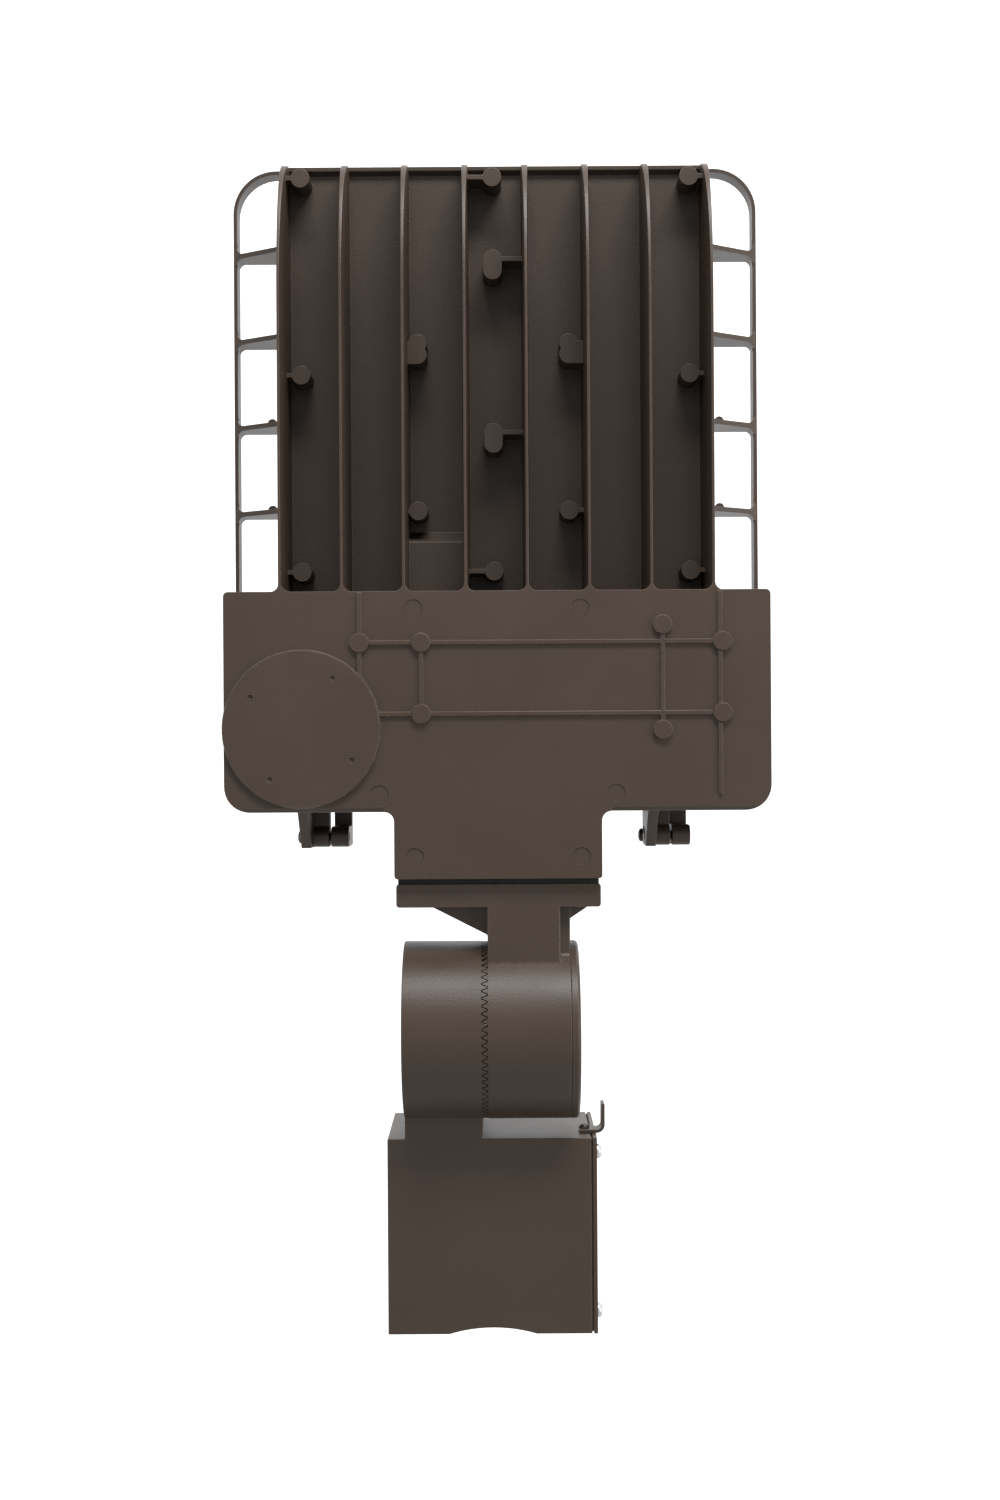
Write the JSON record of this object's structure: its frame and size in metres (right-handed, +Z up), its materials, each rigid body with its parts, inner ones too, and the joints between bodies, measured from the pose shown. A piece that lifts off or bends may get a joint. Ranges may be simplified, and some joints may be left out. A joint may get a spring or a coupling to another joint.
{
  "type": "area light",
  "caption": "Pole-mounted shoebox area light: finned head with driver box and side frames, lens plates beneath, a hinged driver door and a toothed tilt knuckle on an arm box.",
  "frame": {"origin": "centre of the two pole bolt holes, on the floor of the saddle groove in the arm box's pole face", "axes": "+Y away from the pole along the light, +Z up, +X to the right when looking down with the head ahead; the head is level at rest"},
  "size_m": [0.339, 0.743, 0.131],
  "materials": {
    "bronze_coat": "satin",
    "zinc_steel": "satin",
    "black_steel": "satin",
    "green_steel": "satin",
    "dark_rubber": "matte",
    "board_white": "satin",
    "emitter_yellow": "matte",
    "clear_lens": "gloss",
    "driver_case": "satin",
    "surge_case": "matte",
    "terminal_body": "matte"
  },
  "bodies": {
    "arm": {"arm_box": "bronze_coat", "box_cover_gasket": "dark_rubber", "box_cover": "bronze_coat", "box_cover_screws": "zinc_steel", "hanging_hook": "bronze_coat", "hook_screw": "black_steel", "earth_screw": "green_steel", "knuckle_nut": "zinc_steel"},
    "clamp": {"knuckle_bolt": "zinc_steel", "knuckle_washer": "zinc_steel"},
    "head": {"knuckle_arm": "bronze_coat", "knuckle_cap": "bronze_coat", "arm_plate_bolts": "zinc_steel", "neck_gasket": "dark_rubber", "head_housing": "bronze_coat", "led_board_left": "board_white", "led_board_right": "board_white", "led_emitters_left": "emitter_yellow", "led_emitters_right": "emitter_yellow", "board_screws": "zinc_steel", "lens_plate_left": "clear_lens", "lens_plate_right": "clear_lens", "lens_gasket": "dark_rubber", "lens_frame": "bronze_coat", "lens_frame_screws": "zinc_steel", "led_driver": "driver_case", "driver_screws": "zinc_steel", "surge_protector": "surge_case", "surge_screw": "zinc_steel", "terminal_block": "terminal_body", "terminal_screws": "zinc_steel", "hinge_screws": "black_steel", "hinge_washers": "zinc_steel"},
    "door": {"driver_door": "bronze_coat", "door_gasket": "dark_rubber"},
    "left_door_screw": {"door_screw_left": "zinc_steel"},
    "right_door_screw": {"door_screw_right": "zinc_steel"}
  },
  "joints": [
    {"name": "knuckle_release", "type": "slide", "parent": "arm", "child": "clamp", "axis": [1, 0, 0], "range_m": [0, 0.0045]},
    {"name": "head_tilt", "type": "hinge", "parent": "clamp", "child": "head", "pos_m": [0, 0.186, 0.03], "axis": [1, 0, 0], "range_deg": [-45, 90]},
    {"name": "door_hinge", "type": "hinge", "parent": "head", "child": "door", "pos_m": [0, 0.3085, 0.021], "axis": [-1, 0, 0], "range_deg": [0, 90]},
    {"name": "left_screw_travel", "type": "slide", "parent": "door", "child": "left_door_screw", "axis": [0, 0, -1], "range_m": [0, 0.006]},
    {"name": "right_screw_travel", "type": "slide", "parent": "door", "child": "right_door_screw", "axis": [0, 0, -1], "range_m": [0, 0.006]}
  ]
}
